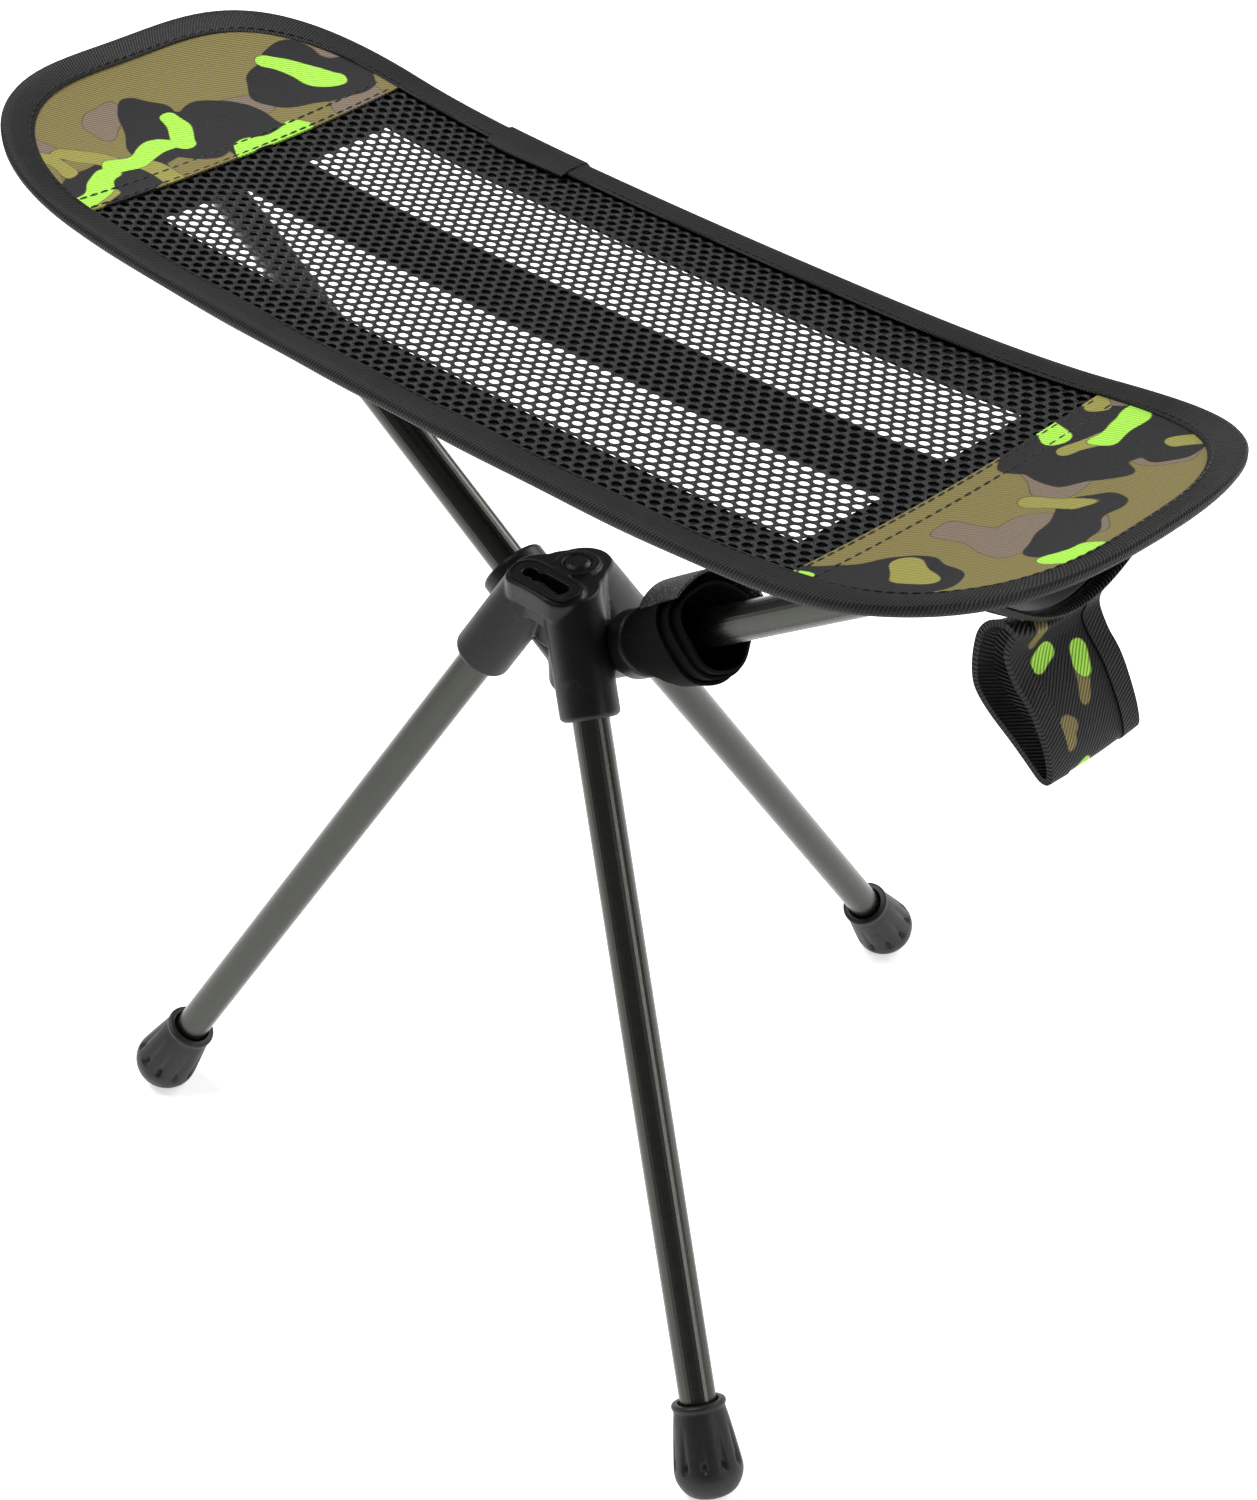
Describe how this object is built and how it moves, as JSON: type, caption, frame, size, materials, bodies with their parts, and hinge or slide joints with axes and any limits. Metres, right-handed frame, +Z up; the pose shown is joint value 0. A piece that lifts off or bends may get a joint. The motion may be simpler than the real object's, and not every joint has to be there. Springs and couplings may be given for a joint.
{
  "type": "three leg stool",
  "caption": "Compact camp stool: a tripod of tube legs, two rising arms and a long sagging mesh sling seat with printed end panels and a hanging webbing handle.",
  "frame": {"origin": "centre of the bounding box on the floor plane", "axes": "+X along the seat toward the end with the handle, +Y toward the single rear leg, +Z up"},
  "size_m": [0.471, 0.2876, 0.3883],
  "materials": {
    "plastic": "moulded satin nylon",
    "rubber": "matte",
    "tube": "dark anodised satin",
    "steel": "blackened",
    "cord": "braided elastic",
    "net": "open polyester mesh",
    "backing": "plain black cloth",
    "binding": "ribbed tape",
    "camo": null,
    "board": "smooth grey sheet",
    "hookloop": "hook and loop tape"
  },
  "bodies": {
    "frame": {"leg_hub": "plastic", "arm_yoke": "plastic", "hub_rivet": "plastic", "arm_tip_left": "plastic", "arm_tip_right": "plastic", "arm_tube_left": "tube", "arm_tube_right": "tube", "rivet_washer": "steel", "hub_cord": "cord", "seat_net": "net", "net_strip_front": "backing", "net_strip_middle": "backing", "net_strip_back": "backing", "net_strip_left": "backing", "pocket_left": "backing", "end_backing_left": "backing", "net_strip_right": "backing", "pocket_right": "backing", "end_backing_right": "backing", "edge_binding": "binding", "binding_join": "binding", "handle_tab": "binding", "pocket_binding_left": "binding", "pocket_binding_right": "binding", "end_panel_left": "camo", "end_panel_right": "camo", "pocket_liner_left": "board", "pocket_liner_right": "board", "strap_band": "hookloop", "strap_hook_end": "hookloop"},
    "leg_front": {"leg_tube_front": "tube", "foot_front": "rubber", "leg_cord_front": "cord", "cord_plug_front": "plastic"},
    "leg_left": {"leg_tube_left": "tube", "foot_left": "rubber", "leg_cord_left": "cord", "cord_plug_left": "plastic"},
    "leg_rear": {"leg_tube_rear": "tube", "foot_rear": "rubber", "leg_cord_rear": "cord", "cord_plug_rear": "plastic"},
    "handle": {"handle_loop": "camo", "handle_edge_front": "binding", "handle_edge_back": "binding"}
  },
  "joints": [
    {"name": "leg_front_pull", "type": "slide", "parent": "frame", "child": "leg_front", "axis": [0.4738, -0.2736, -0.837], "range_m": [0, 0.034]},
    {"name": "leg_left_pull", "type": "slide", "parent": "frame", "child": "leg_left", "axis": [-0.4738, -0.2736, -0.837], "range_m": [0, 0.034]},
    {"name": "leg_rear_pull", "type": "slide", "parent": "frame", "child": "leg_rear", "axis": [0, 0.5471, -0.837], "range_m": [0, 0.034]},
    {"name": "handle_swing", "type": "hinge", "parent": "frame", "child": "handle", "pos_m": [0.199, -0.0379, 0.343], "axis": [0, 1, 0], "range_deg": [-60, 12]}
  ]
}
